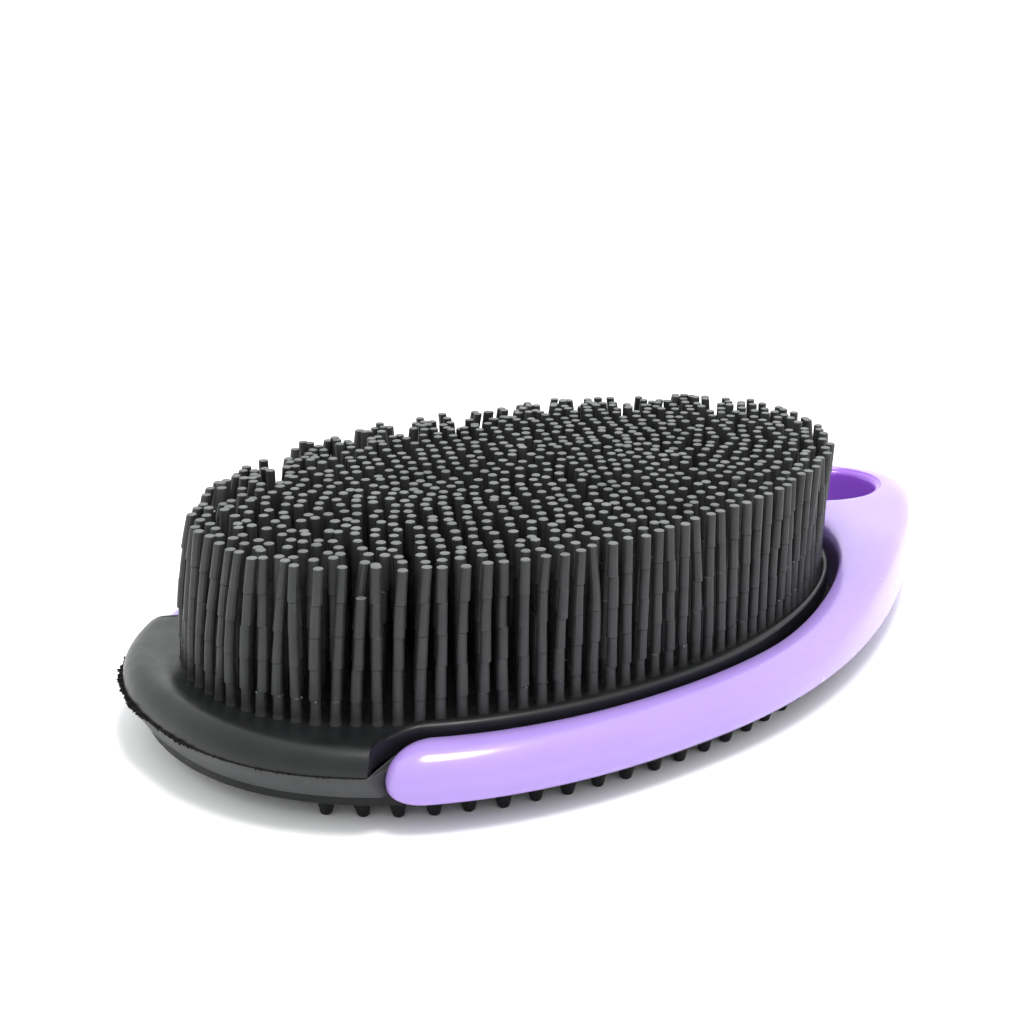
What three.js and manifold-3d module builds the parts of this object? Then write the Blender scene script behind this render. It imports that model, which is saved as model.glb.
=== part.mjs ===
// A two-sided rubber curry comb. Long bristles stand on top, short nubs stand underneath,
// and a plastic frame holds the rubber between two arms that join in a hanging tab.
// Millimetres, +Z up, +X towards the hanging tab. The origin is on the resting plane of the
// nub tips, under the middle of the overall box.

import * as THREE from "three";
import { mergeVertices } from "three/addons/utils/BufferGeometryUtils.js";
import Module from "manifold-3d";

const wasm = await Module();
wasm.setup();

// Plan outlines: a superellipse towards the nose and an ellipse towards the tab, which meet at
// the widest place. The pinch draws the tab's sides in. The nub plate stops short of the hole.
const bodyOutline = { nose: -80.8, tab: 80.8, widest: -11.9, halfWidth: 46.7, nosePower: 2.3, pinch: 0.42 };
const bristleOutline = { nose: -70.2, tab: 47, widest: -12.6, halfWidth: 36.7, nosePower: 2.15, pinch: 0 };
const plateOutline = { ...bristleOutline, tab: 44 };

// Heights above the resting plane.
const plateBottom = 3.2;
const plateTop = 5.3;
const partingLine = 9.2;
const padTop = 12.2;
const rimCrest = 13.3;
const bristleTop = 35.2;

// Rim of the rubber, measured inwards from the body outline.
const rimWidth = 3.2;
const moatEdge = 8.6;
const bandSlope = 2;
const partingGap = 0.3;

// Pocket in the rubber for the frame and the nub plate, measured outwards from their outlines.
const pocketWall = 2.7;
const plateOutset = 7.8;
const grooveRoot = 0.2;
const grooveHeight = 2;
const grooveEnd = -65.6;
const pocketEnd = -66.5;
const pocketReach = 5;
const pocketCeiling = 25;

// Frame section, measured outwards from the bristle outline or as a share of the arm's width.
const frameInner = 3.4;
const tongueTip = 0.6;
const tongueThickness = 1.4;
const ledgeOutset = 8.1;
const ledgeHeight = 5.6;
const frameBottom = 4.4;
const armEnd = -65.1;
const noseLength = 5;
const noseBluntness = 0.4;
const tabLift = 4.6;
const liftStart = 5;
const liftEnd = 52;
const tipLift = 0.7;
const tipLiftEnd = 72;

// Outer skin of the frame from the inner top edge round to the ledge: the share of the arm's
// width, the height, and how much of the tab's lift the point takes.
const skinProfile = [
  [0, 11, 0.85],
  [0.12, 11.6, 1],
  [0.38, 11.9, 1],
  [0.64, 11.4, 1.08],
  [0.84, 10.2, 1.25],
  [0.96, 8.7, 1.2],
  [1, 7.1, 0.8],
  [0.96, 5.4, 0.1],
  [0.84, frameBottom, 0],
];

const hangingHole = { x: 62.6, halfLength: 9.4, halfWidth: 8.3 };

// Nubs stand in rings that follow the plate outline.
const nub = {
  tipRadius: 0.9,
  baseRadius: 1.3,
  sides: 5,
  sink: 0.5,
  pitch: 5,
  rings: 7,
  outerRing: 4.5,
  noseLimit: -67,
  pathSteps: 360,
};

const bristleGap = 0.3;
const rootSpread = 1.2;
const rimDegrees = [18, 36, 54, 72, 90];
const moatShares = [0.35, 0.65, 1];
const ovalSteps = 56;
const frameSteps = 60;
const noseSteps = 5;
const weldDistance = 1e-4;

const lilac = { color: 0xcdb2f7, roughness: 0.28, metalness: 0 };
const blackRubber = { color: 0x232426, roughness: 0.42, metalness: 0 };
const bristleRubber = { color: 0x37383a, roughness: 0.55, metalness: 0 };
const nubRubber = { color: 0x1d1e20, roughness: 0.5, metalness: 0 };

// A point of an outline that has grown by outset, at an angle from the tab.
function outlinePoint(outline, outset, angle) {
  const along = Math.cos(angle);
  const across = Math.sin(angle);
  const halfWidth = outline.halfWidth + outset;
  if (along > 0) {
    const pinched = halfWidth * across * (1 - outline.pinch * along ** 2);
    return new THREE.Vector2(outline.widest + (outline.tab + outset - outline.widest) * along, pinched);
  }
  const exponent = 2 / outline.nosePower;
  const x = outline.widest - (outline.widest - outline.nose + outset) * Math.abs(along) ** exponent;
  return new THREE.Vector2(x, Math.sign(across) * halfWidth * Math.abs(across) ** exponent);
}

// The angle at which the nose half of the body outline reaches a given x.
function angleAt(x) {
  const share = (bodyOutline.widest - x) / (bodyOutline.widest - bodyOutline.nose);
  return Math.PI - Math.acos(share ** (bodyOutline.nosePower / 2));
}

// A closed geometry as a manifold solid.
function toSolid(geometry) {
  geometry.deleteAttribute("normal");
  geometry.deleteAttribute("uv");
  const merged = mergeVertices(geometry, weldDistance);
  const index = merged.index.array;
  const kept = [];
  for (let i = 0; i < index.length; i += 3) {
    const [a, b, c] = [index[i], index[i + 1], index[i + 2]];
    if (a !== b && b !== c && c !== a) kept.push(a, b, c);
  }
  const vertProperties = merged.attributes.position.array;
  return new wasm.Manifold(new wasm.Mesh({ numProp: 3, vertProperties, triVerts: new Uint32Array(kept) }));
}

// A lathe whose section is carried round an oval: columns[i][k] is where point k of the
// section lies at step i.
function carried(columns) {
  const count = columns[0].length;
  const section = Array.from({ length: count }, (_, k) => new THREE.Vector2(1, k));
  const geometry = new THREE.LatheGeometry(section, columns.length - 1);
  const position = geometry.attributes.position;
  columns.flat().forEach((point, i) => position.setXYZ(i, point.x, point.y, point.z));
  return toSolid(geometry);
}

// A solid oval: each layer is an outline, an outset and a height, from the bottom up.
function ovalSolid(layers) {
  const columns = [];
  for (let step = 0; step <= ovalSteps; step++) {
    const angle = (2 * Math.PI * (step % ovalSteps)) / ovalSteps;
    const side = layers.map(([outline, outset, z]) => {
      const point = outlinePoint(outline, outset, angle);
      return new THREE.Vector3(point.x, point.y, z);
    });
    const bottom = new THREE.Vector3(0, 0, layers[0][2]);
    const top = new THREE.Vector3(0, 0, layers.at(-1)[2]);
    columns.push([bottom, ...side, top]);
  }
  return carried(columns);
}

// A solid bar that follows the outlines between two angles. The section is a closed loop of
// points that place(angle) gives, and taper(angle) shrinks it towards its middle.
function curvedBar(angles, place, taper = () => 1) {
  const ring = (angle, scale) => {
    const loop = place(angle);
    const middle = loop.reduce((sum, point) => sum.add(point), new THREE.Vector3()).divideScalar(loop.length);
    const placed = loop.map((point) => point.lerpVectors(middle, point, scale));
    return [...placed, placed[0].clone()];
  };
  const columns = angles.map((angle) => ring(angle, taper(angle)));
  columns.unshift(ring(angles[0], 0));
  columns.push(ring(angles.at(-1), 0));
  return carried(columns);
}

function evenAngles(limit, steps) {
  return Array.from({ length: steps + 1 }, (_, i) => limit - (2 * limit * i) / steps);
}

// A rectangular section between two outsets and two heights.
function slotLoop(inner, outer, low, high) {
  return (angle) => {
    const near = outlinePoint(bristleOutline, inner, angle);
    const far = outlinePoint(outer.outline, outer.outset, angle);
    return [
      new THREE.Vector3(near.x, near.y, low),
      new THREE.Vector3(near.x, near.y, high),
      new THREE.Vector3(far.x, far.y, high),
      new THREE.Vector3(far.x, far.y, low),
    ];
  };
}

// The space that the frame takes out of the rubber: an open pocket and the tongue's groove.
function pocketSpace() {
  const outside = { outline: bodyOutline, outset: pocketReach };
  const pocketAngles = evenAngles(angleAt(pocketEnd), frameSteps);
  const pocket = curvedBar(pocketAngles, slotLoop(pocketWall, outside, plateTop, pocketCeiling));
  const inside = { outline: bristleOutline, outset: pocketWall + partingGap };
  const low = partingLine - grooveHeight / 2;
  const grooveAngles = evenAngles(angleAt(grooveEnd), frameSteps);
  const groove = curvedBar(grooveAngles, slotLoop(grooveRoot, inside, low, low + grooveHeight));
  return pocket.add(groove);
}

// Upper rubber moulding: a flat top for the bristles, a moat, and a rolled rim at the nose.
function bristlePad() {
  const layers = [[bodyOutline, 0, partingLine + partingGap / 2]];
  const rise = rimCrest - partingLine;
  for (const degrees of rimDegrees) {
    const turn = THREE.MathUtils.degToRad(degrees);
    layers.push([bodyOutline, -rimWidth * (1 - Math.cos(turn)), partingLine + rise * Math.sin(turn)]);
  }
  for (const share of moatShares) {
    const inset = THREE.MathUtils.lerp(rimWidth, moatEdge, share);
    const drop = (1 + Math.cos(Math.PI * share)) / 2;
    layers.push([bodyOutline, -inset, THREE.MathUtils.lerp(padTop, rimCrest, drop)]);
  }
  return ovalSolid(layers).subtract(pocketSpace());
}

// Centres of the nubs: rings that shrink towards the middle, and one row along the spine.
function nubCentres() {
  const centres = [];
  const ringGap = (nub.outerRing + plateOutline.halfWidth) / nub.rings;
  for (let ring = 0; ring < nub.rings; ring++) {
    const outset = nub.outerRing - ring * ringGap;
    const angles = evenAngles(Math.PI, nub.pathSteps);
    const path = new THREE.Path(angles.map((angle) => outlinePoint(plateOutline, outset, angle)));
    const count = Math.round(path.getLength() / nub.pitch);
    centres.push(...path.getSpacedPoints(count).slice(0, count));
  }
  const spineStart = new THREE.Vector2(plateOutline.nose + plateOutline.halfWidth, 0);
  const spineEnd = new THREE.Vector2(plateOutline.tab - plateOutline.halfWidth, 0);
  const spine = new THREE.LineCurve(spineStart, spineEnd);
  centres.push(...spine.getSpacedPoints(Math.round(spine.getLength() / nub.pitch)));
  return centres.filter((centre) => centre.x > nub.noseLimit);
}

// Lower rubber moulding: a sloping band, a thin plate, and the nubs that it rests on.
function nubPad() {
  const pad = ovalSolid([
    [plateOutline, plateOutset, plateBottom],
    [plateOutline, plateOutset, plateTop],
    [bodyOutline, -bandSlope, plateTop],
    [bodyOutline, 0, partingLine - partingGap / 2],
  ]).subtract(pocketSpace());
  const height = plateBottom + nub.sink;
  const nubs = nubCentres().map((centre) => {
    const cone = new THREE.CylinderGeometry(nub.baseRadius, nub.tipRadius, height, nub.sides);
    cone.rotateX(Math.PI / 2);
    cone.translate(centre.x, centre.y, height / 2);
    return toSolid(cone);
  });
  return wasm.Manifold.union([pad, ...nubs]);
}

// Outer envelope of the standing bristles, one closed soft solid. The roots spread at the nose.
function bristleField() {
  const rootOutline = { ...bristleOutline, nose: bristleOutline.nose - rootSpread };
  return ovalSolid([
    [rootOutline, 0, padTop + bristleGap],
    [bristleOutline, 0, bristleTop],
  ]);
}

// How far the top of the frame has risen towards the hanging tab and on towards its tip.
function liftAt(x) {
  const atTip = tipLift * THREE.MathUtils.smoothstep(x, liftEnd, tipLiftEnd);
  return tabLift * THREE.MathUtils.smoothstep(x, liftStart, liftEnd) + atTip;
}

// The frame's section at an angle: a tongue inside, a bulging outer face, and a ledge that
// clears the nub plate.
function frameLoop(angle) {
  const edge = (outset, z) => {
    const point = outlinePoint(bristleOutline, outset, angle);
    return new THREE.Vector3(point.x, point.y, z);
  };
  const skin = ([share, z, rise]) => {
    const inner = outlinePoint(bristleOutline, frameInner, angle);
    const point = inner.lerp(outlinePoint(bodyOutline, 0, angle), share);
    return new THREE.Vector3(point.x, point.y, z + rise * liftAt(point.x));
  };
  return [
    edge(tongueTip, partingLine - tongueThickness / 2),
    edge(tongueTip, partingLine + tongueThickness / 2),
    edge(frameInner, partingLine + tongueThickness / 2),
    ...skinProfile.map(skin),
    edge(ledgeOutset, frameBottom),
    edge(ledgeOutset, ledgeHeight),
    edge(frameInner, ledgeHeight),
    edge(frameInner, partingLine - tongueThickness / 2),
  ];
}

// Angles of the frame's sections, close together where the arm ends are rounded.
function frameAngles() {
  const limit = angleAt(armEnd);
  const straight = angleAt(armEnd + noseLength);
  const nose = Array.from({ length: noseSteps }, (_, i) => {
    const turn = ((i + 0.5) / noseSteps) * (Math.PI / 2);
    return straight + (limit - straight) * Math.cos(turn);
  });
  return [...nose, ...evenAngles(straight, frameSteps), ...nose.map((angle) => -angle).reverse()];
}

// Plastic frame: two arms and the hanging tab, one moulding.
function frameBody() {
  const limit = angleAt(armEnd);
  const straight = angleAt(armEnd + noseLength);
  const taper = (angle) => {
    const share = Math.max(0, (Math.abs(angle) - straight) / (limit - straight));
    return (1 - share ** 2) ** noseBluntness;
  };
  const bar = curvedBar(frameAngles(), frameLoop, taper);
  const hole = new THREE.CylinderGeometry(1, 1, pocketCeiling * 2, ovalSteps / 2);
  hole.rotateX(Math.PI / 2);
  hole.scale(hangingHole.halfLength, hangingHole.halfWidth, 1);
  hole.translate(hangingHole.x, 0, 0);
  return bar.subtract(toSolid(hole));
}

function toMesh(name, solid, look) {
  const { numProp, vertProperties, triVerts } = solid.getMesh();
  const position = new Float32Array((vertProperties.length / numProp) * 3);
  for (let i = 0; i < position.length / 3; i++) {
    position.set(vertProperties.subarray(i * numProp, i * numProp + 3), i * 3);
  }
  const geometry = new THREE.BufferGeometry();
  geometry.setAttribute("position", new THREE.BufferAttribute(position, 3));
  geometry.setIndex(new THREE.BufferAttribute(triVerts, 1));
  geometry.computeVertexNormals();
  const mesh = new THREE.Mesh(geometry, new THREE.MeshStandardMaterial(look));
  mesh.name = name;
  return mesh;
}

const curryComb = new THREE.Group();
curryComb.name = "curry_comb";
curryComb.add(toMesh("frame", frameBody(), lilac));
curryComb.add(toMesh("bristle_pad", bristlePad(), blackRubber));
curryComb.add(toMesh("bristle_field", bristleField(), bristleRubber));
curryComb.add(toMesh("nub_pad", nubPad(), nubRubber));

export default curryComb;
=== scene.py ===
"""Looks of the two-sided rubber curry comb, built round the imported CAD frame.

The long bristles, both rubber mouldings, the nubs and the lilac frame are each made again as
fine meshes in the place that their CAD node holds. Metres, +Z up, +X towards the hanging tab.
"""

import math

import bpy
import numpy as np
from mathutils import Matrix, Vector, noise


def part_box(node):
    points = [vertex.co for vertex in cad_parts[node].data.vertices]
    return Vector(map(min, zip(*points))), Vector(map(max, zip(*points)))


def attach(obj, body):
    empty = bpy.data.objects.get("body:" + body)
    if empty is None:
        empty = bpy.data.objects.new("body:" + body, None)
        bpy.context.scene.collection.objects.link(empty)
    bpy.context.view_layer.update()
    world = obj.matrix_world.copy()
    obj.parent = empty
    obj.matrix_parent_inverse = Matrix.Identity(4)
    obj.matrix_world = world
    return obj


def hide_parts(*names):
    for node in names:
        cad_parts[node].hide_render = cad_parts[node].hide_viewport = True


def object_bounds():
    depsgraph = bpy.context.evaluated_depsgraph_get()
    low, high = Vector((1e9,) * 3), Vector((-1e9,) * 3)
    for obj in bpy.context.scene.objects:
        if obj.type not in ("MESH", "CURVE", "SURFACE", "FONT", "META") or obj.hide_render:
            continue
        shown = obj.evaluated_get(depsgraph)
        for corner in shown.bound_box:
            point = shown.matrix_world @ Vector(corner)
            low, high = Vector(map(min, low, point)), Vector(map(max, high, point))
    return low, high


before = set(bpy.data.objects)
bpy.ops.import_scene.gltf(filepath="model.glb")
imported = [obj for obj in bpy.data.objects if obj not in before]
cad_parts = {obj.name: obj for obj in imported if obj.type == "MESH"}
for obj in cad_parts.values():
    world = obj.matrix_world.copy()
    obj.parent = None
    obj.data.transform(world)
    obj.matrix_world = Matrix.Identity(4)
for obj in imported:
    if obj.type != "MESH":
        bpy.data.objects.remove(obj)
CAD_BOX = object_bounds()
MM = 0.001
BODY = "root"

# ---------------------------------------------------------------- sizes worked out from the frame

FIELD_LOW, FIELD_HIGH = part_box("bristle_field")
PAD_LOW, PAD_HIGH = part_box("bristle_pad")
NUB_LOW, NUB_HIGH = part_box("nub_pad")
FRAME_LOW, FRAME_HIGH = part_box("frame")
BODY_LOW, BODY_HIGH = Vector(CAD_BOX[0]), Vector(CAD_BOX[1])

# Plan outlines: a superellipse towards the nose, and an ellipse with drawn-in sides towards the tab.
ROOT_SPREAD = 1.2 * MM
FIELD = dict(
    nose=FIELD_LOW.x + ROOT_SPREAD,
    tab=FIELD_HIGH.x,
    widest=-12.6 * MM,
    half=FIELD_HIGH.y,
    power=2.15,
    pinch=0.0,
)
PLATE = dict(FIELD, tab=FIELD_HIGH.x - 3.0 * MM)
OUTER = dict(nose=BODY_LOW.x, tab=BODY_HIGH.x, widest=-11.9 * MM, half=BODY_HIGH.y, power=2.3, pinch=0.42)

GAP = 0.3 * MM
BED = FIELD_LOW.z - GAP
TIP_HEIGHT = FIELD_HIGH.z
PARTING = (PAD_LOW.z + NUB_HIGH.z) / 2
CREST = PAD_HIGH.z
PLATE_BOTTOM = 3.2 * MM
PLATE_TOP = 5.3 * MM

RIM_WIDTH = 3.2 * MM
MOAT_EDGE = 8.6 * MM
BAND_SLOPE = 2.0 * MM
WALL_OUTSET = 2.7 * MM
PLATE_OUTSET = 7.8 * MM
POCKET_END = -66.5 * MM
POCKET_CORNER = -61.5 * MM
FLASH_ROOM = 0.35 * MM

FRAME_INNER = 3.4 * MM
LEDGE_OUTSET = 8.1 * MM
LEDGE_HEIGHT = 5.6 * MM
ARM_END = -65.1 * MM
ARM_ROUNDING = 5.0 * MM
ARM_BLUNTNESS = 0.4
ARM_END_DROP = 1.0 * MM
TAB_LIFT = 4.6 * MM
LIFT_START = 5.0 * MM
LIFT_END = 52.0 * MM
TIP_LIFT = 0.7 * MM
TIP_LIFT_END = 72.0 * MM
HOLE_CENTRE = 62.6 * MM
HOLE_HALF_LENGTH = 9.4 * MM
HOLE_HALF_WIDTH = 8.3 * MM
HOLE_ROWS = 10
RIM_DROP = 0.2 * MM

# Blender's noise_vector takes its offsets from the clock unless its own seed is set.
SEED = 20
random = np.random.default_rng(SEED)
noise.seed_set(SEED)


def outline(shape, outset, angle):
    """Points of an outline grown by outset, at angles from the tab (0) over the far side to the nose (pi)."""
    angle = np.asarray(angle, float)
    along, across = np.cos(angle), np.sin(angle)
    half = shape["half"] + outset
    exponent = 2 / shape["power"]
    nose_x = shape["widest"] - (shape["widest"] - shape["nose"] + outset) * np.abs(along) ** exponent
    nose_y = np.sign(across) * half * np.abs(across) ** exponent
    tab_x = shape["widest"] + (shape["tab"] + outset - shape["widest"]) * along
    tab_y = half * across * (1 - shape["pinch"] * along**2)
    return np.stack([np.where(along > 0, tab_x, nose_x), np.where(along > 0, tab_y, nose_y)], -1)


def angle_at(x):
    """The angle at which the nose half of the outer outline reaches x."""
    share = (OUTER["widest"] - x) / (OUTER["widest"] - OUTER["nose"])
    return math.pi - math.acos(share ** (OUTER["power"] / 2))


def smoothstep(x, low, high):
    t = np.clip((np.asarray(x, float) - low) / (high - low), 0, 1)
    return t * t * (3 - 2 * t)


# ---------------------------------------------------------------- mesh helpers


def add_mesh(name, points, faces, materials, face_material=None, sharp=35.0):
    mesh = bpy.data.meshes.new(name)
    mesh.from_pydata([tuple(p) for p in points], [], faces)
    for material in materials:
        mesh.materials.append(material)
    if face_material is not None:
        mesh.polygons.foreach_set("material_index", np.asarray(face_material, np.int32))
    mesh.polygons.foreach_set("use_smooth", np.ones(len(mesh.polygons), bool))
    mesh.update()
    mesh.set_sharp_from_angle(angle=math.radians(sharp))
    obj = bpy.data.objects.new(name, mesh)
    bpy.context.scene.collection.objects.link(obj)
    return obj


def place(obj, slot, *nodes):
    """The piece rides on the one body and stands for the CAD nodes. The argument slot is not used."""
    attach(obj, BODY)
    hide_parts(*nodes)
    return obj


def loft(name, columns, materials, row_looks=None, sharp=35.0):
    """A closed skin over columns (steps, points, 3) that run from a bottom pole to a top pole, round an oval.

    row_looks gives each row of faces, from the bottom pole up, the number of its material.
    """
    steps, count, _ = columns.shape
    inner = columns[:, 1:-1]
    points = np.concatenate([columns[0, :1], inner.reshape(-1, 3), columns[0, -1:]])
    rows = count - 2
    top = len(points) - 1
    faces = []
    for i in range(steps):
        a, b = 1 + i * rows, 1 + ((i + 1) % steps) * rows
        faces.append((0, b, a))
        faces.extend((a + k, b + k, b + k + 1, a + k + 1) for k in range(rows - 1))
        faces.append((a + rows - 1, b + rows - 1, top))
    looks = None if row_looks is None else row_looks * steps
    return add_mesh(name, points, faces, materials, looks, sharp=sharp)


def bar(name, columns, materials, sharp=35.0):
    """A closed skin over closed loops (steps, points, 3), with a cap over each end."""
    steps, count, _ = columns.shape
    faces = []
    for i in range(steps - 1):
        a, b = i * count, (i + 1) * count
        for k in range(count):
            n = (k + 1) % count
            faces.append((a + k, a + n, b + n, b + k))
    faces.append(tuple(range(count - 1, -1, -1)))
    faces.append(tuple((steps - 1) * count + k for k in range(count)))
    return add_mesh(name, columns.reshape(-1, 3), faces, materials, sharp=sharp)


# ---------------------------------------------------------------- materials


class Nodes:
    """A small wrapper that adds nodes to a material and links them."""

    def __init__(self, name):
        self.material = bpy.data.materials.new(name)
        self.material.use_nodes = True
        self.tree = self.material.node_tree
        self.shader = self.tree.nodes["Principled BSDF"]
        self.where = self.tree.nodes.new("ShaderNodeTexCoord").outputs["Object"]

    def set(self, **values):
        for name, value in values.items():
            self.shader.inputs[name.replace("_", " ")].default_value = value

    def add(self, kind, inputs=None, **settings):
        node = self.tree.nodes.new("ShaderNode" + kind)
        for key, value in settings.items():
            setattr(node, key, value)
        for key, value in (inputs or {}).items():
            if isinstance(value, bpy.types.NodeSocket):
                self.tree.links.new(value, node.inputs[key])
            else:
                node.inputs[key].default_value = value
        return node

    def noise(self, scale, detail=4.0, roughness=0.6):
        inputs = {"Vector": self.where, "Scale": scale, "Detail": detail, "Roughness": roughness}
        return self.add("TexNoise", inputs).outputs["Fac"]

    def span(self, value, low, high, to_low, to_high):
        inputs = {"Value": value, "From Min": low, "From Max": high, "To Min": to_low, "To Max": to_high}
        return self.add("MapRange", inputs).outputs["Result"]

    def blend(self, factor, dark, light):
        ramp = self.add("Mix", {"Factor": factor}, data_type="RGBA")
        ramp.inputs["A"].default_value = (*dark, 1)
        ramp.inputs["B"].default_value = (*light, 1)
        return ramp.outputs["Result"]

    def bump(self, height, strength, distance, normal=None):
        inputs = {"Height": height, "Strength": strength, "Distance": distance}
        if normal is not None:
            inputs["Normal"] = normal
        return self.add("Bump", inputs).outputs["Normal"]

    def drive(self, socket, value):
        self.tree.links.new(value, self.shader.inputs[socket])


# Noise scales are in cycles per metre, from slow marks to fine grain and dust.
MOTTLE_SCALE = 90.0
GLOSS_SCALE = 260.0
GRAIN_SCALE = 2200.0
DUST_SCALE = 5200.0
DUST_SPAN = (0.735, 0.77)
DUST_COLOUR = (0.16, 0.165, 0.17, 1)
GRAIN_BUMP = 0.25
GRAIN_DEPTH = 0.05 * MM
MOTTLE_BUMP = 0.15
MOTTLE_DEPTH = 0.2 * MM

FLOW_STRETCH = (14.0, 40.0, 60.0)
FLOW_SCALE = 1.6
WEAR_SCALE = 130.0
WEAR_ROUGHNESS = (0.23, 0.28)
PEEL_SCALE = 700.0
PEEL_DEPTH = 0.05 * MM
SAG_SCALE = 55.0
SAG_DEPTH = 0.15 * MM
PLASTIC_BUMP = 0.03
SCATTER_DEPTH = 2.5 * MM

IOR = 1.5
MIDDLE = (0.35, 0.65)


def rubber(name, dark, light, rough_low, rough_high, specular, dust=0.35):
    """Moulded rubber: mottled black with a fine grain, uneven gloss and pale dust specks."""
    n = Nodes(name)
    broad = n.noise(MOTTLE_SCALE)
    fine = n.noise(GRAIN_SCALE, 3.0, 0.7)
    mottled = n.blend(n.span(broad, *MIDDLE, 0, 1), dark, light)
    specks = n.span(n.noise(DUST_SCALE, 1.0, 0.5), *DUST_SPAN, 0, dust)
    dusty = n.add("Mix", {"Factor": specks, "A": mottled}, data_type="RGBA")
    dusty.inputs["B"].default_value = DUST_COLOUR
    n.drive("Base Color", dusty.outputs["Result"])
    n.drive("Roughness", n.span(n.noise(GLOSS_SCALE, 5.0), 0.3, 0.7, rough_low, rough_high))
    mottled_normal = n.bump(broad, MOTTLE_BUMP, MOTTLE_DEPTH)
    n.drive("Normal", n.bump(fine, GRAIN_BUMP, GRAIN_DEPTH, mottled_normal))
    n.set(IOR=IOR, Specular_IOR_Level=specular)
    return n.material


def lilac_plastic(name, dark, light):
    """Glossy moulded plastic: slow flow marks, a slight orange peel and worn, duller patches."""
    n = Nodes(name)
    flow = n.add("Mapping", {"Vector": n.where, "Scale": FLOW_STRETCH})
    marks = n.add("TexNoise", {"Vector": flow.outputs["Vector"], "Scale": FLOW_SCALE, "Detail": 3.0})
    n.drive("Base Color", n.blend(n.span(marks.outputs["Fac"], *MIDDLE, 0, 1), dark, light))
    n.drive("Roughness", n.span(n.noise(WEAR_SCALE, 5.0), 0.35, 0.75, *WEAR_ROUGHNESS))
    peel = n.bump(n.noise(PEEL_SCALE, 2.0), PLASTIC_BUMP, PEEL_DEPTH)
    n.drive("Normal", n.bump(n.noise(SAG_SCALE, 1.0), PLASTIC_BUMP, SAG_DEPTH, peel))
    n.set(IOR=IOR, Coat_Weight=0.4, Coat_Roughness=0.08)
    n.set(Subsurface_Weight=0.3, Subsurface_Radius=(1.0, 0.7, 1.4), Subsurface_Scale=SCATTER_DEPTH)
    return n.material


PAD_RUBBER = rubber("pad_rubber", (0.006, 0.0065, 0.007), (0.010, 0.0105, 0.011), 0.30, 0.42, 0.30, dust=0.2)
BAND_RUBBER = rubber("band_rubber", (0.026, 0.027, 0.028), (0.037, 0.038, 0.039), 0.42, 0.56, 0.40)
BRISTLE_RUBBER = rubber("bristle_rubber", (0.019, 0.0195, 0.020), (0.030, 0.0305, 0.031), 0.42, 0.58, 0.36)
TIP_RUBBER = rubber("tip_rubber", (0.070, 0.071, 0.073), (0.120, 0.122, 0.125), 0.45, 0.60, 0.5)
# Pale grey for the scraps of flash on the joints: a painted glint on black rubber.
NIB_GLINT_RUBBER = rubber("nib_glint_rubber", (0.20, 0.20, 0.205), (0.34, 0.34, 0.345), 0.30, 0.45, 0.6)
NUB_RUBBER = rubber("nub_rubber", (0.005, 0.0055, 0.006), (0.009, 0.0095, 0.010), 0.42, 0.58, 0.22)
FLASH_RUBBER = rubber("flash_rubber", (0.004, 0.004, 0.0045), (0.009, 0.009, 0.0095), 0.6, 0.8, 0.2)
LILAC = lilac_plastic("lilac_plastic", (0.335, 0.225, 0.590), (0.362, 0.246, 0.615))
# Deeper lilac for the hole's wall: painted shade and coloured bounce light inside the hole, on the same
# plastic as the frame.
HOLE_SHADE_LILAC = lilac_plastic("hole_shade_lilac_plastic", (0.265, 0.085, 0.530), (0.295, 0.100, 0.560))

# ---------------------------------------------------------------- bristles

BRISTLE_RADIUS = 0.78 * MM
BRISTLE_PITCH = 2.8 * MM
ROW_GAP = 2.75 * MM
BRISTLE_SIDES = 12
TIP_ROOM = 0.2 * MM
PLATE_THICKNESS = 4.7 * MM
JOINTS = [BED + 3.6 * MM + PLATE_THICKNESS * i for i in range(4)]
JOINT_GROOVE = 0.12 * MM
EDGE_INSET = 0.4 * MM
TUFTS = 150
MOST_LEAN = 2.4 * MM
NOSE_SPREAD = 2.1 * MM
NIB_SIZE = 0.15 * MM

# Rings at a bristle's foot: height above the bed and share of the radius.
FOOT_RINGS = [(-0.3 * MM, 1.28), (0.15 * MM, 1.18), (0.6 * MM, 1.03)]
FIRST_SECTION = 1.0 * MM
LAST_SECTION = 1.5 * MM
SECTION_TAPER = (1.04, 0.99, 0.95)
JOINT_WAIST = 0.86
TIP_TAPER = 0.96
TIP_BEVEL = 0.08 * MM
TIP_BEVEL_SCALE = 0.86
JOINT_SHIFT = 0.10
MOST_JOINT_SHIFT = 0.22
WAVE_SIZE = 0.14
WAVE_TURN = 5.2
DRIFT_SCALE = 38
DRIFT_SIZE = 0.9 * MM

# How the tips gather in tufts, scatter and end unevenly: more so on the far side and at the nose.
NEAR_PULL = 0.05
FAR_PULL = 0.62
SCATTER = 0.20
NOSE_SCATTER = 0.28
ROOT_SCATTER = 0.07
UNEVEN = 0.15
FAR_UNEVEN = 0.35
EDGE_NIBS = 0.55
INNER_NIBS = 0.12

# One short bristle at the near edge and one place where the tips have parted.
SHORT_ROOT = np.array([-60.5, -21.5]) * MM
SHORT_BY = 4.2 * MM
PARTED_AT = np.array([-55.6, -2.7]) * MM
PARTED_REACH = 3.4 * MM
PARTED_PUSH = 1.5 * MM


def spaced(points, pitch, closed=True):
    """Points at an even pitch along a polyline."""
    path = np.concatenate([points, points[:1]]) if closed else points
    steps = np.linalg.norm(np.diff(path, axis=0), axis=1)
    length = np.concatenate([[0], np.cumsum(steps)])
    count = max(2, round(length[-1] / pitch))
    at = np.linspace(0, length[-1], count + 1)
    at = at[:-1] if closed else at
    return np.stack([np.interp(at, length, path[:, i]) for i in range(2)], -1)


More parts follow.
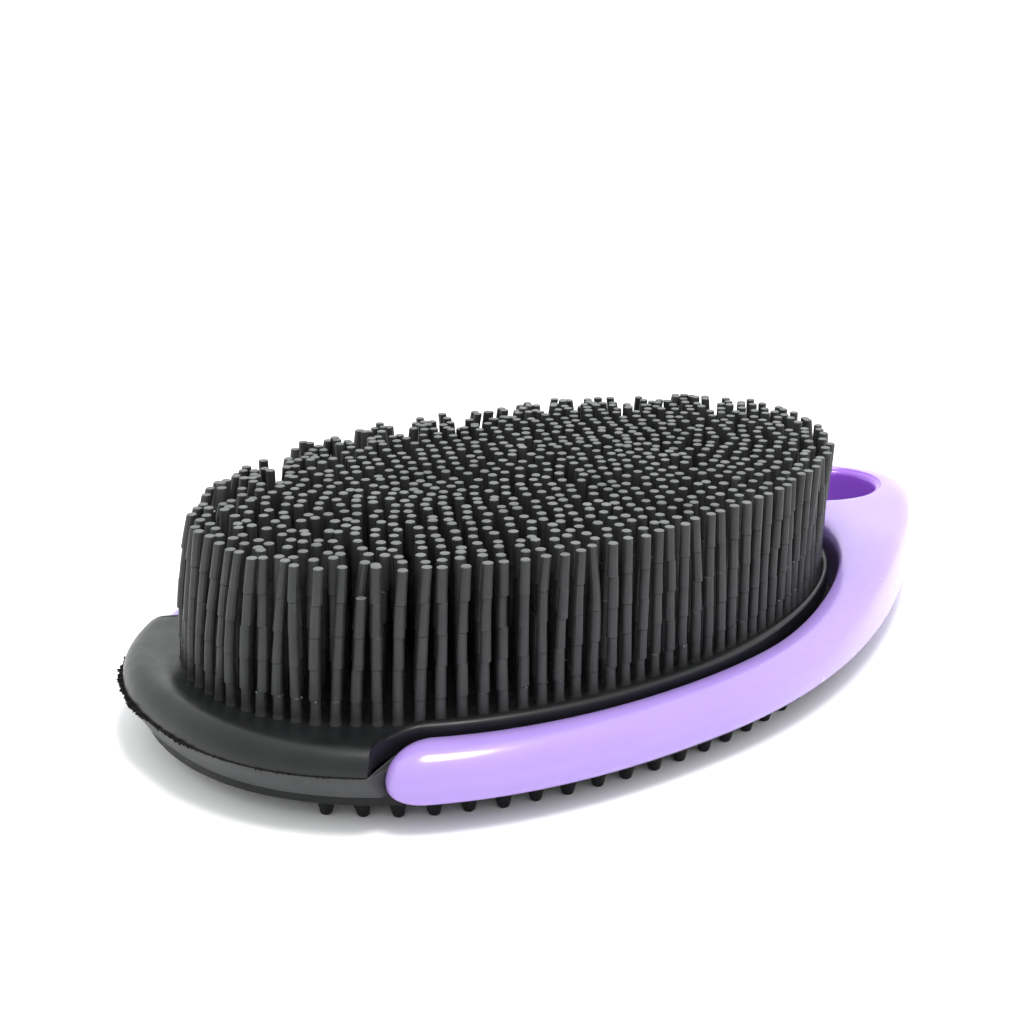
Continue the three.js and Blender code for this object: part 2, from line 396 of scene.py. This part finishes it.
def bristle_rows():
    """Root centres of the bristles, one array for each oval row, and last the row along the spine."""
    turn = np.linspace(0, 2 * math.pi, 720, endpoint=False)
    rows = []
    outset = -EDGE_INSET
    while FIELD["half"] + outset > ROW_GAP * 0.75:
        rows.append(spaced(outline(FIELD, outset, turn), BRISTLE_PITCH))
        outset -= ROW_GAP
    spine = np.array([[FIELD["nose"] + FIELD["half"], 0], [FIELD["tab"] - FIELD["half"], 0]])
    rows.append(spaced(spine, BRISTLE_PITCH, closed=False))
    return rows


def tip_shift(base, tufts, pull, scatter):
    """How far a bristle's tip leans.

    It leans towards its tuft, along a slow field, at random, and out of the parting.
    """
    away = tufts - base
    nearest = np.argmin((away**2).sum(1))
    drift = noise.noise_vector(Vector((*(base * DRIFT_SCALE), 0)))
    lean = away[nearest] * pull + np.array([drift.x, drift.y]) * DRIFT_SIZE
    lean = lean + random.normal(0, scatter, 2)
    parted = base - PARTED_AT
    distance = np.linalg.norm(parted)
    lean = lean + parted / distance * PARTED_PUSH * math.exp(-((distance / PARTED_REACH) ** 2))
    length = np.linalg.norm(lean)
    return lean * min(1, MOST_LEAN / max(length, 1e-9))


def bristle_rings(root, shift, top):
    """Centres and radii of one bristle's rings, and the places of its joints.

    The stem stands in mould-plate sections that taper upwards and don't quite line up.
    """
    centres, radii, joints = [], [], []
    edges = [BED + FIRST_SECTION] + [z for z in JOINTS if z < top - LAST_SECTION] + [top]
    step = np.zeros(2)
    bend = random.uniform(1.3, 2.2)
    wave = random.normal(0, WAVE_SIZE, 2) * MM
    phase = random.uniform(0, math.pi)

    def ring(z, scale, base=BRISTLE_RADIUS):
        t = (z - BED) / (TIP_HEIGHT - BED)
        sway = wave * math.sin(phase + WAVE_TURN * t) * t
        middle = root + shift * max(t, 0) ** bend + sway + step
        centres.append((*middle, z))
        radii.append(base * scale)

    for height, scale in FOOT_RINGS:
        ring(BED + height, scale)
    joints.append(centres[1])
    low_scale, middle_scale, high_scale = SECTION_TAPER
    for low, high in zip(edges[:-1], edges[1:]):
        base = BRISTLE_RADIUS * random.uniform(0.95, 1.05)
        ring(low, low_scale, base)
        ring((low + high) / 2, middle_scale, base)
        if high < top:
            ring(high - JOINT_GROOVE, high_scale, base)
            joints.append(centres[-1])
            ring(high - JOINT_GROOVE / 2, JOINT_WAIST, base)
            move = random.normal(0, JOINT_SHIFT, 2)
            step = step + np.clip(move, -MOST_JOINT_SHIFT, MOST_JOINT_SHIFT) * MM
        else:
            ring(high, TIP_TAPER, base)
    x, y, z = centres[-1]
    centres.append((x, y, z + TIP_BEVEL))
    radii.append(radii[-1] * TIP_BEVEL_SCALE)
    return np.array(centres), np.array(radii), joints


def nib_points(centre):
    """A scrap of flash on the side of a joint: a small octahedron, half sunk in the stem."""
    turn = random.uniform(0, 2 * math.pi)
    size = NIB_SIZE * random.uniform(0.5, 1.15)
    middle = np.array(centre) + np.array([math.cos(turn), math.sin(turn), 0]) * BRISTLE_RADIUS * 0.98
    arms = np.array([(1, 0, 0), (0, 1, 0), (-1, 0, 0), (0, -1, 0), (0, 0, 1), (0, 0, -1)])
    return middle + arms * size


NIB_FACES = [(0, 1, 4), (1, 2, 4), (2, 3, 4), (3, 0, 4), (1, 0, 5), (2, 1, 5), (3, 2, 5), (0, 3, 5)]


def bristle_mesh(name, bristles, nib_share):
    """One mesh that holds the bristles of a row: flat pale tips on dark stems, with scraps of flash whose
    pale grey is a painted glint.
    """
    turn = np.arange(BRISTLE_SIDES) * 2 * math.pi / BRISTLE_SIDES
    circle = np.stack([np.cos(turn), np.sin(turn), np.zeros(BRISTLE_SIDES)], -1)
    points, faces, material = [], [], []
    start = 0
    for centres, radii, joints in bristles:
        rings = centres[:, None, :] + circle[None] * radii[:, None, None]
        rings[-1, :, 2] += random.normal(0, 0.03 * MM)
        points.append(rings.reshape(-1, 3))
        for k in range(len(radii) - 1):
            a = start + k * BRISTLE_SIDES
            b = a + BRISTLE_SIDES
            for i in range(BRISTLE_SIDES):
                j = (i + 1) % BRISTLE_SIDES
                faces.append((a + i, a + j, b + j, b + i))
                material.append(1 if k == len(radii) - 2 else 0)
        end = start + (len(radii) - 1) * BRISTLE_SIDES
        faces.append(tuple(range(end, end + BRISTLE_SIDES)))
        faces.append(tuple(range(start + BRISTLE_SIDES - 1, start - 1, -1)))
        material.extend([1, 0])
        start += len(radii) * BRISTLE_SIDES
        for joint in joints[:2]:
            if random.uniform() < nib_share:
                points.append(nib_points(joint))
                faces.extend(tuple(start + v for v in face) for face in NIB_FACES)
                # The scraps of flash take the pale rubber, a painted glint.
                material.extend([2] * len(NIB_FACES))
                start += 6
    looks = [BRISTLE_RUBBER, TIP_RUBBER, NIB_GLINT_RUBBER]
    return add_mesh(name, np.concatenate(points), faces, looks, material, sharp=30.0)


def build_bristles():
    rows = bristle_rows()
    turn = random.uniform(0, 2 * math.pi, TUFTS)
    reach = np.sqrt(random.uniform(0, 1, TUFTS))
    edge = outline(FIELD, 0, turn)
    middle = np.array([FIELD["widest"], 0])
    tufts = middle + (edge - middle) * reach[:, None]
    for i, row in enumerate(rows):
        shortest = np.argmin(((row - SHORT_ROOT) ** 2).sum(1)) if i == 0 else -1
        outer = float(smoothstep(-i, -5, 0))
        bristles = []
        for k, base in enumerate(row):
            far = float(smoothstep(base[1], 0, FIELD["half"] * 0.8)) * outer
            nose = float(smoothstep(-base[0], 32 * MM, 66 * MM))
            spread = np.array([NOSE_SPREAD * nose * outer, 0])
            root = base - spread + random.normal(0, ROOT_SCATTER, 2) * MM
            pull = NEAR_PULL + FAR_PULL * far
            scatter = (SCATTER + NOSE_SCATTER * nose) * MM
            shift = base - root + tip_shift(base, tufts, pull, scatter)
            uneven = abs(random.normal(0, UNEVEN + FAR_UNEVEN * far)) * MM
            top = TIP_HEIGHT - TIP_ROOM - uneven
            if k == shortest:
                top -= SHORT_BY
            bristles.append(bristle_rings(root, shift, top))
        piece = bristle_mesh(f"bristle_row_{i + 1:02d}", bristles, EDGE_NIBS if i == 0 else INNER_NIBS)
        place(piece, "bristle_rubber", "bristle_field")


# ---------------------------------------------------------------- rubber mouldings

OVAL_STEPS = 240
CORNER_STEPS = 40
TOP_POINTS = 48
WALL_POINTS = 7
BED_REACH = 0.5 * MM
LIP_WIDTH = 2.2 * MM
LIP_RISE = 0.65 * MM
RIM_FOOT = PARTING + 0.12 * MM
SEAM = 0.03 * MM
SEAM_DEPTH = 0.2 * MM
PLATE_ROWS = 6
PLATE_ROUND = 0.5 * MM
BAND_BEVEL = 0.45 * MM
BAND_SHARES = (0.3, 0.6, 0.85, 0.96)
BAND_CURVE = 1.6
FACE_GAP = 0.02 * MM
RIM_LOW = 0.35
RIM_PEAK_TURN = 0.94
TOP_SAMPLES = 600
PAD_SHARP = 40.0


def oval_angles():
    """Even angles round the oval, with more of them where the pocket ends."""
    even = np.linspace(-math.pi, math.pi, OVAL_STEPS, endpoint=False)
    low, high = angle_at(POCKET_CORNER), angle_at(POCKET_END) + 0.01
    corner = np.linspace(low, high, CORNER_STEPS)
    return np.unique(np.concatenate([even, corner, -corner]))


def past_corner(angle):
    """0 along the arms, 1 past the pocket's end, and rising in between."""
    low, high = angle_at(POCKET_CORNER), angle_at(POCKET_END)
    return float(np.clip((abs(angle) - low) / (high - low), 0, 1))


def margin(angle):
    return float(np.linalg.norm(outline(OUTER, 0, angle) - outline(FIELD, 0, angle)))


def radial(angle, inset, z):
    """A point at an inset from the outer outline, on the line towards the bristle outline."""
    outer, inner = outline(OUTER, 0, angle), outline(FIELD, 0, angle)
    line = outer - inner
    x, y = outer - line * (inset / np.linalg.norm(line))
    return (x, y, z)


def rim_height(inset, angle):
    """Height of the upper pad at an inset: flat bed, moat, crest and roll to the parting line."""
    nose = float(smoothstep(abs(angle), angle_at(POCKET_END), math.pi * RIM_PEAK_TURN))
    crest = BED + (CREST - BED) * (RIM_LOW + (1 - RIM_LOW) * nose)
    inwards = np.clip((inset - RIM_WIDTH) / (MOAT_EDGE - RIM_WIDTH), 0, 1)
    outwards = np.clip(1 - inset / RIM_WIDTH, 0, 1)
    moat = BED + (crest - BED) * (1 + np.cos(math.pi * inwards)) / 2
    roll = RIM_FOOT + (crest - RIM_FOOT) * np.sqrt(1 - outwards**2)
    return np.where(inset > RIM_WIDTH, moat, roll)


def top_section(angle):
    """Insets and heights of the upper pad's top, from the bed to the rim's foot or to the pocket's wall."""
    corner = past_corner(angle)
    wall = (margin(angle) - WALL_OUTSET) * math.sqrt(1 - corner**2) + FLASH_ROOM * corner
    inset = np.linspace(margin(angle) + BED_REACH, wall, TOP_SAMPLES)
    near = np.clip((inset - wall) / LIP_WIDTH, 0, 1)
    lip = LIP_RISE * np.sqrt(np.clip(np.sin(math.pi * near), 0, 1)) * (1 - corner)
    height = rim_height(inset - FLASH_ROOM * corner, angle) + lip
    length = np.concatenate([[0], np.cumsum(np.hypot(np.diff(inset), np.diff(height)))])
    at = np.linspace(0, length[-1], TOP_POINTS)
    return np.interp(at, length, inset), np.interp(at, length, height)


def upper_pad():
    columns = []
    for angle in oval_angles():
        inset, height = top_section(angle)
        wall, edge = inset[-1], height[-1]
        column = [(0, 0, PARTING + SEAM)]
        for share in np.linspace(1, 0, WALL_POINTS)[:-1]:
            z = edge + (PARTING + SEAM - edge) * share
            column.append(radial(angle, wall + SEAM_DEPTH * share**3, z))
        column.extend(radial(angle, u, z) for u, z in zip(inset[::-1], height[::-1]))
        column.append((0, 0, BED))
        columns.append(column)
    piece = loft("upper_pad", np.array(columns), [PAD_RUBBER], sharp=PAD_SHARP)
    place(piece, "pad_rubber", "bristle_pad")


def lower_pad():
    """The sloping band over the nub plate. The band steps back slowly where it passes behind an arm."""
    columns = []
    for angle in oval_angles():
        wall = (margin(angle) - WALL_OUTSET) * (1 - past_corner(angle))
        column = [(0, 0, PLATE_BOTTOM)]
        for turn in np.linspace(0, math.pi / 2, 5):
            x, y = outline(PLATE, PLATE_OUTSET - PLATE_ROUND * (1 - math.sin(turn)), angle)
            column.append((x, y, PLATE_BOTTOM + PLATE_ROUND * (1 - math.cos(turn))))
        x, y = outline(PLATE, PLATE_OUTSET, angle)
        column.append((x, y, PLATE_TOP - FACE_GAP))
        foot = max(wall, BAND_SLOPE)
        for turn in np.linspace(0, math.pi / 2, 6):
            inset = foot + BAND_BEVEL * (1 - math.sin(turn))
            z = PLATE_TOP + BAND_BEVEL * (1 - math.cos(turn))
            column.append(radial(angle, inset, z))
        rise = PARTING - PLATE_TOP - BAND_BEVEL
        for share in BAND_SHARES:
            slope = FLASH_ROOM + (BAND_SLOPE - FLASH_ROOM) * (1 - share) ** BAND_CURVE
            z = PLATE_TOP + BAND_BEVEL + rise * share
            column.append(radial(angle, max(wall, slope), z))
        column.append(radial(angle, max(wall, FLASH_ROOM) + SEAM_DEPTH, PARTING - SEAM))
        column.append((0, 0, PARTING - SEAM))
        columns.append(column)
    columns = np.array(columns)
    band_rows = columns.shape[1] - 1 - PLATE_ROWS
    row_looks = [1] * PLATE_ROWS + [0] * band_rows
    piece = loft("lower_pad", columns, [BAND_RUBBER, NUB_RUBBER], row_looks, sharp=PAD_SHARP)
    place(piece, "nub_rubber", "nub_pad")


# ---------------------------------------------------------------- mould flash

FLASH_STEPS = 1500
FLASH_ROOT = 0.30 * MM
FLASH_RAGGED = 0.85 * MM
FLASH_THIN = 0.26 * MM
FLASH_THICKNESS = 0.14 * MM
FLASH_FROM = math.radians(150)
FLASH_TO = math.radians(184)
FLASH_FADE = 0.2
LUMP_SCALE = 60
CRUMB_SCALE = 260
FLASH_DROOP = 0.5
FLASH_SWELL = 0.16
BOX_ROOM = 0.01 * MM


def flash_reach(angle):
    """How far the flash stands out: ragged over the left of the nose, and a thin lumpy line elsewhere."""
    turned = angle % (2 * math.pi)
    ragged = float(smoothstep(turned, FLASH_FROM - 0.12, FLASH_FROM + FLASH_FADE))
    ragged *= 1 - float(smoothstep(turned, FLASH_TO - 0.15, FLASH_TO + FLASH_FADE))
    lump = abs(noise.noise(Vector((angle * LUMP_SCALE, 4.0, 0))))
    lump += 0.5 * abs(noise.noise(Vector((angle * CRUMB_SCALE, 9.0, 0))))
    torn = 0.15 + 0.55 * lump + 0.5 * random.uniform() ** 2
    return FLASH_THIN * (0.6 + lump) + FLASH_RAGGED * ragged * torn


def mould_flash():
    """A thin torn strip of rubber that stands out of the parting line between the pocket ends."""
    limit = angle_at(POCKET_END) + 0.01
    columns = []
    for angle in np.linspace(limit, 2 * math.pi - limit, FLASH_STEPS):
        reach = flash_reach(angle)
        drop = random.normal(0, FLASH_DROOP) * reach * 0.5
        outer = list(radial(angle, FLASH_ROOM - reach, PARTING + drop))
        outer[0] = max(outer[0], BODY_LOW.x + BOX_ROOM)
        root = FLASH_ROOM + FLASH_ROOT
        thick = FLASH_THICKNESS + FLASH_SWELL * reach
        above = radial(angle, root, PARTING + thick)
        below = radial(angle, root, PARTING - thick)
        columns.append([above, outer, below])
    piece = bar("mould_flash", np.array(columns), [FLASH_RUBBER], sharp=30.0)
    place(piece, "pad_rubber", "bristle_pad")


# ---------------------------------------------------------------- nubs

NUB_BASE = 1.3 * MM
NUB_PITCH = 5.0 * MM
NUB_RINGS = 7
NUB_OUTER = 4.5 * MM
NUB_NOSE = -67.0 * MM
NUB_SIDES = 16
NUB_SCATTER = 0.08
NUB_UNEVEN = 0.03

# From the plate down to the tip: share of the base radius, and height.
NUB_PROFILE = [
    (1.45, PLATE_BOTTOM + 0.2 * MM),
    (1.30, PLATE_BOTTOM - 0.15 * MM),
    (1.08, PLATE_BOTTOM - 0.5 * MM),
    (1.0, PLATE_BOTTOM - 1.0 * MM),
    (0.70, 0.55 * MM),
    (0.64, 0.25 * MM),
    (0.50, 0.06 * MM),
    (0.32, 0.0),
]


def nub_centres():
    turn = np.linspace(-math.pi, math.pi, 360, endpoint=False)[::-1]
    ring_gap = (NUB_OUTER + PLATE["half"]) / NUB_RINGS
    rings = [outline(PLATE, NUB_OUTER - ring * ring_gap, turn) for ring in range(NUB_RINGS)]
    rows = [spaced(ring, NUB_PITCH) for ring in rings]
    spine = np.array([[PLATE["nose"] + PLATE["half"], 0], [PLATE["tab"] - PLATE["half"], 0]])
    rows.append(spaced(spine, NUB_PITCH, closed=False))
    return [row[row[:, 0] > NUB_NOSE] for row in rows]


def build_nubs():
    """Short tapered nubs with rounded tips and a fillet where they leave the plate."""
    turn = np.arange(NUB_SIDES) * 2 * math.pi / NUB_SIDES
    circle = np.stack([np.cos(turn), np.sin(turn)], -1)
    for i, row in enumerate(nub_centres()):
        points, faces = [], []
        for centre in row:
            start = len(points)
            size = NUB_BASE * random.uniform(1 - NUB_UNEVEN, 1 + NUB_UNEVEN)
            lean = random.normal(0, NUB_SCATTER, 2) * MM
            for scale, z in NUB_PROFILE:
                shift = lean * (1 - z / PLATE_BOTTOM)
                points.extend((*(centre + shift + circle[s] * size * scale), z) for s in range(NUB_SIDES))
            for k in range(len(NUB_PROFILE) - 1):
                a, b = start + k * NUB_SIDES, start + (k + 1) * NUB_SIDES
                for s in range(NUB_SIDES):
                    t = (s + 1) % NUB_SIDES
                    faces.append((a + t, a + s, b + s, b + t))
            faces.append(tuple(range(start, start + NUB_SIDES)))
            last = start + (len(NUB_PROFILE) - 1) * NUB_SIDES
            faces.append(tuple(range(last + NUB_SIDES - 1, last - 1, -1)))
        piece = add_mesh(f"nub_row_{i + 1}", points, faces, [NUB_RUBBER])
        place(piece, "nub_rubber", "nub_pad")


# ---------------------------------------------------------------- frame

# Outer skin from the inner wall round to the ledge: share of the arm's width, height in
# millimetres, and how much of the tab's lift the point takes.
FRAME_SKIN = [
    (0, 9.0, 0),
    (0, 11.0, 0.85),
    (0.12, 11.6, 1),
    (0.38, 11.9, 1),
    (0.64, 11.4, 1.08),
    (0.84, 10.2, 1.25),
    (0.96, 8.7, 1.2),
    (1, 7.1, 0.8),
    (0.96, 5.4, 0.1),
    (0.86, 4.5, 0),
]
SKIN_STEPS = 5
ARM_STEPS = 220
ROUNDING_STEPS = 26

# The hole's flare at the top and the bottom, and how far the cutter reaches past the frame.
HOLE_FLARE = 1.1 * MM
HOLE_SIDES = 96
CUTTER_REACH = 3 * MM
CUTTER_BOTTOM = 2.5
CUTTER_TOP = 3.0

def lift(x):
    """How far the top of the frame has risen towards the tab and on towards its tip."""
    return TAB_LIFT * smoothstep(x, LIFT_START, LIFT_END) + TIP_LIFT * smoothstep(x, LIFT_END, TIP_LIFT_END)


def frame_loop(angle):
    """The frame's section: smooth over the outside, square at the ledge and at the inner wall."""
    inner, outer = outline(FIELD, FRAME_INNER, angle), outline(OUTER, 0, angle)

    def skin(share, z, rise):
        x, y = inner + (outer - inner) * share
        return (x, y, z * MM + rise * float(lift(x)))

    def edge(outset, z):
        x, y = outline(FIELD, outset, angle)
        return (x, y, z)

    knots = [skin(*knot) for knot in FRAME_SKIN] + [edge(LEDGE_OUTSET, FRAME_LOW.z)]
    smooth = catmull(np.array(knots), SKIN_STEPS)
    square = [edge(LEDGE_OUTSET, LEDGE_HEIGHT), edge(FRAME_INNER, LEDGE_HEIGHT)]
    return np.concatenate([smooth, np.array(square)])


def catmull(knots, steps):
    """A smooth open curve through the knots."""
    padded = np.concatenate([[2 * knots[0] - knots[1]], knots, [2 * knots[-1] - knots[-2]]])
    curve = []
    for i in range(len(knots) - 1):
        a, b, c, d = padded[i : i + 4]
        for t in np.linspace(0, 1, steps, endpoint=False):
            square = (2 * a - 5 * b + 4 * c - d) * t**2
            cube = (3 * b - a - 3 * c + d) * t**3
            curve.append(0.5 * (2 * b + (c - a) * t + square + cube))
    curve.append(knots[-1])
    return np.array(curve)


def build_frame():
    limit, straight = angle_at(ARM_END), angle_at(ARM_END + ARM_ROUNDING)
    turns = np.linspace(0, math.pi / 2, ROUNDING_STEPS)[1:-1]
    rounding = straight + (limit - straight) * np.sin(turns)
    even = np.linspace(-straight, straight, ARM_STEPS)
    angles = np.concatenate([-rounding[::-1], even, rounding])
    columns = []
    for angle in angles:
        loop = frame_loop(angle)
        share = max(0, (abs(angle) - straight) / (limit - straight))
        scale = (1 - share**2) ** ARM_BLUNTNESS
        middle = loop.mean(0) - np.array([0, 0, ARM_END_DROP])
        columns.append(middle + (loop - middle) * scale)
    piece = bar("frame_shell", np.array(columns), [LILAC], sharp=50.0)
    cut_hole(piece)
    place(piece, "frame_plastic", "frame")


def cut_hole(piece):
    """The hanging hole, flared at the top and the bottom so that its rim is soft. Its wall takes the cutter's
    deeper lilac: painted shade and coloured bounce light inside the hole.
    """
    top = FRAME_HIGH.z
    bottom = FRAME_LOW.z
    flare = HOLE_FLARE
    profile = [(CUTTER_BOTTOM * flare, bottom - CUTTER_REACH), (flare, bottom)]
    for turn in np.linspace(0, math.pi / 2, 7)[1:]:
        profile.append((flare * (1 - math.sin(turn)), bottom + flare * (1 - math.cos(turn))))
    wall_top = top - flare - RIM_DROP
    profile.extend((0.0, z) for z in np.linspace(bottom + flare, wall_top, HOLE_ROWS)[1:-1])
    for turn in np.linspace(math.pi / 2, 0, 9):
        z = top - flare * (1 - math.cos(turn)) - RIM_DROP
        profile.append((flare * (1 - math.sin(turn)), z))
    profile.append((CUTTER_TOP * flare, top + CUTTER_REACH))
    turns = np.linspace(0, 2 * math.pi, HOLE_SIDES, endpoint=False)
    columns = []
    for turn in turns:
        column = [(HOLE_CENTRE, 0, profile[0][1])]
        for grow, z in profile:
            x = HOLE_CENTRE + (HOLE_HALF_LENGTH + grow) * math.cos(turn)
            column.append((x, (HOLE_HALF_WIDTH + grow) * math.sin(turn), z))
        column.append((HOLE_CENTRE, 0, profile[-1][1]))
        columns.append(column)
    # The cutter's deeper lilac passes to the hole's wall: painted shade inside the hole.
    cutter = loft("hole_cutter", np.array(columns), [HOLE_SHADE_LILAC])
    boolean = piece.modifiers.new("hole", "BOOLEAN")
    boolean.operation = "DIFFERENCE"
    boolean.solver = "EXACT"
    boolean.object = cutter
    boolean.material_mode = "TRANSFER"
    bpy.context.view_layer.update()
    evaluated = piece.evaluated_get(bpy.context.evaluated_depsgraph_get())
    cut = bpy.data.meshes.new_from_object(evaluated)
    piece.modifiers.clear()
    piece.data = cut
    bpy.data.objects.remove(cutter)


# ---------------------------------------------------------------- camera, light and floor

AZIMUTH = math.radians(-39.08)
ELEVATION = math.radians(18.66)
LENS = 58.8
LOOK_AT = Vector((-21.6 * MM, -7.4 * MM, 31.0 * MM))
DISTANCE = 261.0 * MM

SOFT_SIDE = (-0.60, -0.76, 0.25)
WORLD_BRIGHT = 1.62
WORLD_SOFT = 1.12
WORLD_COLOUR = (0.985, 1.0, 1.0, 1)
KEY_PLACE = (-0.04, -0.13, 0.50)
KEY_TARGET = (0, 0, 0)
KEY_SIZE = 0.17
KEY_POWER = 1.6
FLOOR_SIZE = 12.0


def build_camera():
    data = bpy.data.cameras.new("camera")
    data.lens = LENS
    data.clip_start = 0.01
    camera = bpy.data.objects.new("camera", data)
    bpy.context.scene.collection.objects.link(camera)
    back = Vector((
        math.sin(AZIMUTH) * math.cos(ELEVATION),
        -math.cos(AZIMUTH) * math.cos(ELEVATION),
        math.sin(ELEVATION),
    ))
    camera.location = LOOK_AT + back * DISTANCE
    camera.rotation_euler = back.to_track_quat("Z", "Y").to_euler()
    bpy.context.scene.camera = camera


def area_light(name, location, target, size, power):
    data = bpy.data.lights.new(name, "AREA")
    data.shape = "DISK"
    data.size = size
    data.energy = power
    light = bpy.data.objects.new(name, data)
    light.location = location
    light.rotation_euler = (Vector(location) - Vector(target)).to_track_quat("Z", "Y").to_euler()
    bpy.context.scene.collection.objects.link(light)


def studio_world():
    """White all round and above, and softer on the side that faces the nose and the near arm."""
    world = bpy.data.worlds.new("studio")
    world.use_nodes = True
    tree = world.node_tree
    where = tree.nodes.new("ShaderNodeTexCoord").outputs["Generated"]
    facing = tree.nodes.new("ShaderNodeVectorMath")
    facing.operation = "DOT_PRODUCT"
    tree.links.new(where, facing.inputs[0])
    facing.inputs[1].default_value = SOFT_SIDE
    fade = tree.nodes.new("ShaderNodeMapRange")
    tree.links.new(facing.outputs["Value"], fade.inputs["Value"])
    fade.inputs["From Min"].default_value = 0.1
    fade.inputs["From Max"].default_value = 0.9
    fade.inputs["To Min"].default_value = WORLD_BRIGHT
    fade.inputs["To Max"].default_value = WORLD_SOFT
    tree.links.new(fade.outputs["Result"], tree.nodes["Background"].inputs["Strength"])
    tree.nodes["Background"].inputs["Color"].default_value = WORLD_COLOUR
    bpy.context.scene.world = world


def build_studio():
    n = Nodes("floor_white")
    n.drive("Base Color", n.blend(n.noise(3.0), (0.93, 0.93, 0.935), (0.95, 0.95, 0.955)))
    n.set(Roughness=0.9, Specular_IOR_Level=0.1)
    size = FLOOR_SIZE
    corners = [(-size, -size, 0), (size, -size, 0), (size, size, 0), (-size, size, 0)]
    floor = add_mesh("floor", corners, [(0, 1, 2, 3)], [n.material])
    studio_world()
    area_light("key", KEY_PLACE, KEY_TARGET, KEY_SIZE, KEY_POWER)
    bpy.context.scene.view_settings.view_transform = "Standard"


build_camera()
build_studio()
build_bristles()
upper_pad()
lower_pad()
mould_flash()
build_nubs()
build_frame()
